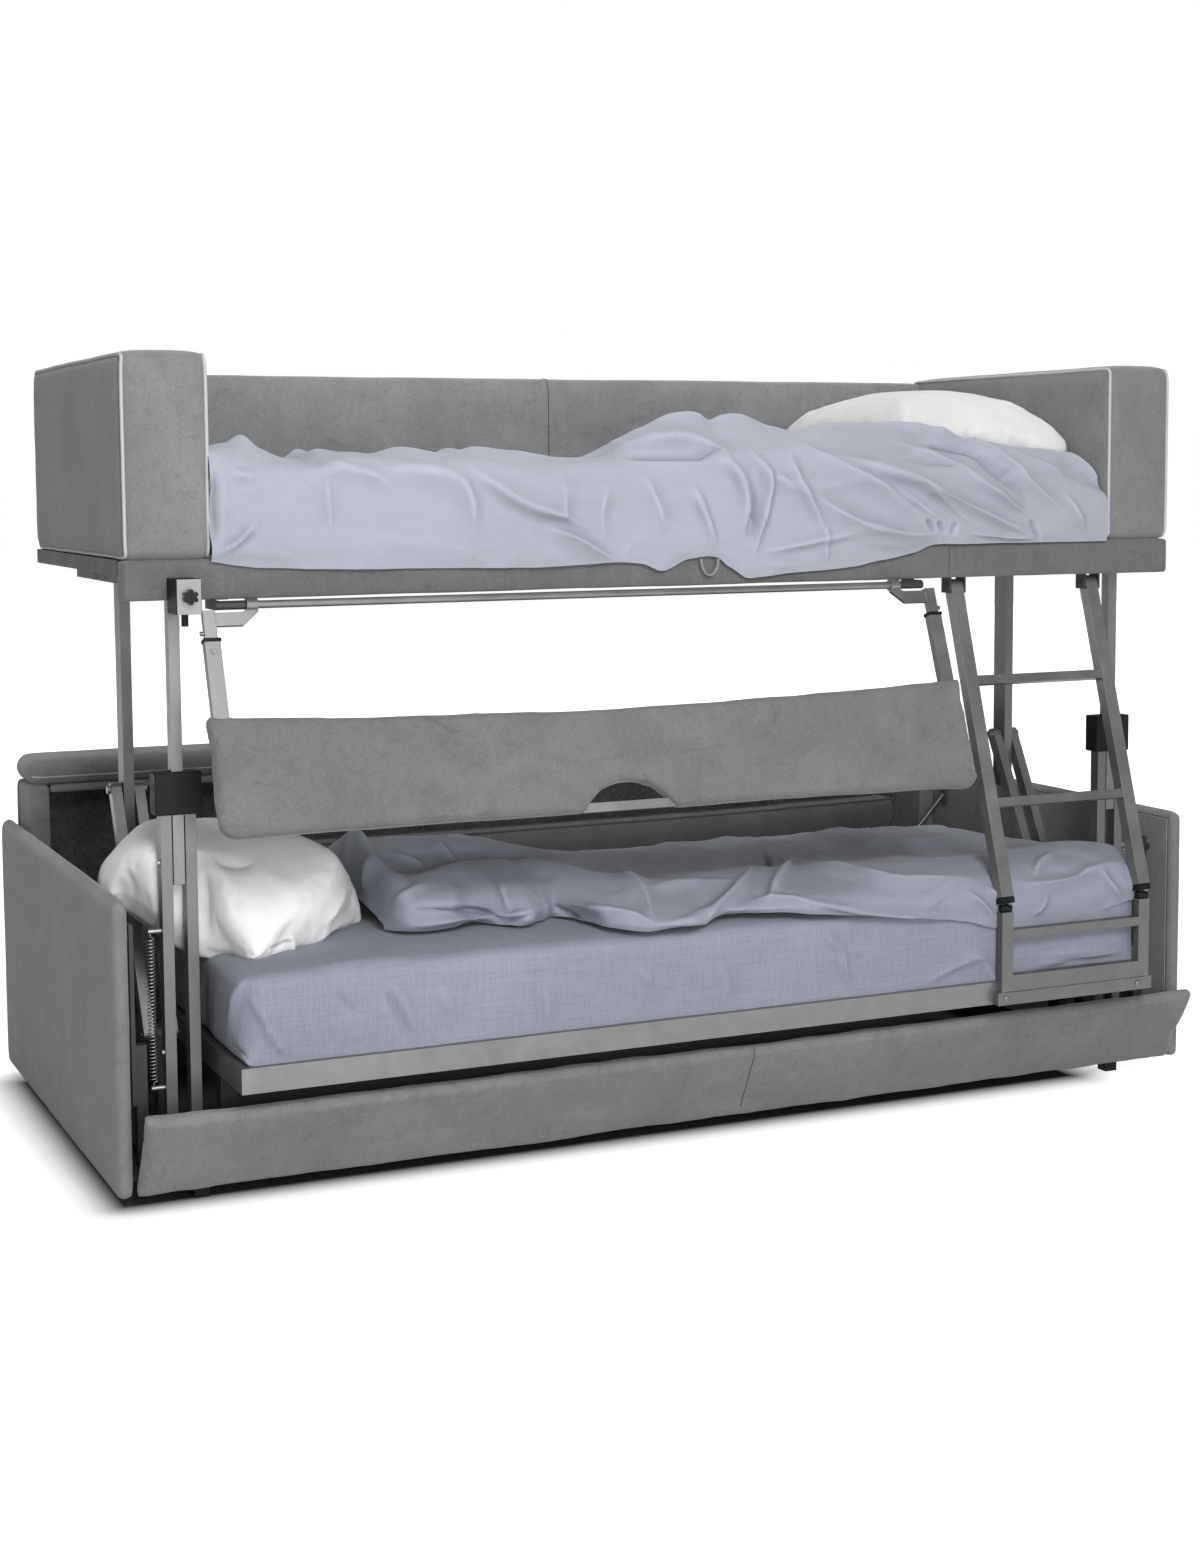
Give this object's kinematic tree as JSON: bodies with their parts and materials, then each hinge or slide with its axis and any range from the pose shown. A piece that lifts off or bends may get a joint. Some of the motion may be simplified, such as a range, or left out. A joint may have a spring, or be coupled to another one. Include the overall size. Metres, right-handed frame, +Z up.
{
  "type": "sofa bunk bed",
  "caption": "Upholstered sofa raised into a bunk bed, with a sliding lower bed, a lifting upper bunk, a ladder, a swinging guard panel and a front flap.",
  "frame": {"origin": "on the floor, under the middle of the whole piece's bounding box", "axes": "+X to the right along the sofa as seen from the front, +Y from the front to the back, +Z up"},
  "size_m": [2.28, 1.2237, 1.484],
  "materials": {
    "upholstery": "mid-grey microsuede with a soft nap",
    "lining": "dark fleece lining",
    "steel": "satin grey steel tube and bar",
    "dark_steel": "black painted steel",
    "spring_steel": "bright spring wire and bolts",
    "plastic": "black moulded plastic",
    "slat_wood": "plain sprung wooden slats",
    "sheet": "light periwinkle-grey cotton sheet",
    "blanket": "blue-grey cotton blanket",
    "fitted_sheet": "blue-grey linen-look fitted sheet",
    "pillowcase": "white cotton pillowcase"
  },
  "bodies": {
    "base": {"left_arm": "upholstery", "right_arm": "upholstery", "back_board": "upholstery", "back_roll": "upholstery", "back_pillars": "upholstery", "back_lining": "lining", "back_lip": "upholstery", "side_beams": "dark_steel", "cross_beams": "dark_steel", "feet": "plastic", "runners": "dark_steel", "stowed_cushion": "upholstery", "guide_tubes": "steel", "collars": "plastic", "frame_bolts": "spring_steel", "springs": "spring_steel", "arm_stays": "dark_steel", "rear_stays": "steel", "pivot_stands": "dark_steel", "flap_hinges": "dark_steel"},
    "lower_bed": {"lower_front_rail": "steel", "lower_rails": "steel", "lower_slats": "slat_wood", "lower_mattress": "fitted_sheet", "lower_blanket": "blanket", "lower_pillow": "pillowcase", "ladder_base_posts": "steel", "ladder_base_plate": "steel"},
    "upper_bunk": {"upper_front_rail": "upholstery", "upper_rails": "dark_steel", "upper_slats": "slat_wood", "upper_crossbars": "dark_steel", "front_posts": "steel", "rear_posts": "steel", "left_end_block": "upholstery", "right_end_block": "upholstery", "back_guard": "upholstery", "upper_mattress": "sheet", "upper_blanket": "sheet", "upper_pillow": "pillowcase", "loop_handle": "upholstery", "clamp_block": "plastic", "clamp_plate": "steel", "guard_hinges": "dark_steel", "ladder_hinges": "dark_steel"},
    "guard_frame": {"guard_tube": "steel", "guard_arms": "steel"},
    "guard_panel": {"guard_sleeves": "steel", "guard_caps": "plastic", "guard_panel": "upholstery", "hand_hole_bar": "steel"},
    "ladder": {"ladder_stiles": "steel", "ladder_rungs": "steel", "ladder_knuckles": "plastic"},
    "left_lift_arm": {"left_lift_arm": "steel"},
    "right_lift_arm": {"right_lift_arm": "steel"},
    "front_flap": {"front_flap": "upholstery", "flap_knuckles": "dark_steel"},
    "star_knob": {"star_knob": "plastic"}
  },
  "joints": [
    {"name": "upper_lift", "type": "slide", "parent": "base", "child": "upper_bunk", "axis": [0, 0, 1], "range_m": [-0.3, 0]},
    {"name": "lower_bed_slide", "type": "slide", "parent": "base", "child": "lower_bed", "axis": [0, 1, 0], "range_m": [0, 0.12]},
    {"name": "ladder_swing", "type": "hinge", "parent": "upper_bunk", "child": "ladder", "pos_m": [0, -0.38764, 1.042], "axis": [-1, 0, 0], "range_deg": [0, 58]},
    {"name": "guard_swing", "type": "hinge", "parent": "upper_bunk", "child": "guard_frame", "pos_m": [0, -0.45414, 1.0495], "axis": [-1, 0, 0], "range_deg": [0, 140]},
    {"name": "guard_slide", "type": "slide", "parent": "guard_frame", "child": "guard_panel", "axis": [0, -0.3469, -0.9379], "range_m": [-0.005, 0.1]},
    {"name": "flap_hinge", "type": "hinge", "parent": "base", "child": "front_flap", "pos_m": [0, -0.42614, 0.04], "axis": [1, 0, 0], "range_deg": [-28, 50]},
    {"name": "left_arm_swing", "type": "hinge", "parent": "base", "child": "left_lift_arm", "pos_m": [-1.002, -0.20014, 0.25], "axis": [-1, 0, 0], "range_deg": [0, 47]},
    {"name": "right_arm_swing", "type": "hinge", "parent": "base", "child": "right_lift_arm", "pos_m": [1.002, -0.20014, 0.25], "axis": [-1, 0, 0], "range_deg": [0, 47]},
    {"name": "knob_turn", "type": "hinge", "parent": "upper_bunk", "child": "star_knob", "pos_m": [-1.0035, -0.49214, 1.068], "axis": [0, -1, 0], "range_deg": [-180, 180]}
  ],
  "couplings": [
    {"joint": "lower_bed_slide", "follows": "upper_lift", "ratio": -0.4},
    {"joint": "ladder_swing", "follows": "upper_lift", "rad_per_m": -3.3743},
    {"joint": "left_arm_swing", "follows": "upper_lift", "rad_per_m": -2.7343},
    {"joint": "right_arm_swing", "follows": "upper_lift", "rad_per_m": -2.7343}
  ]
}
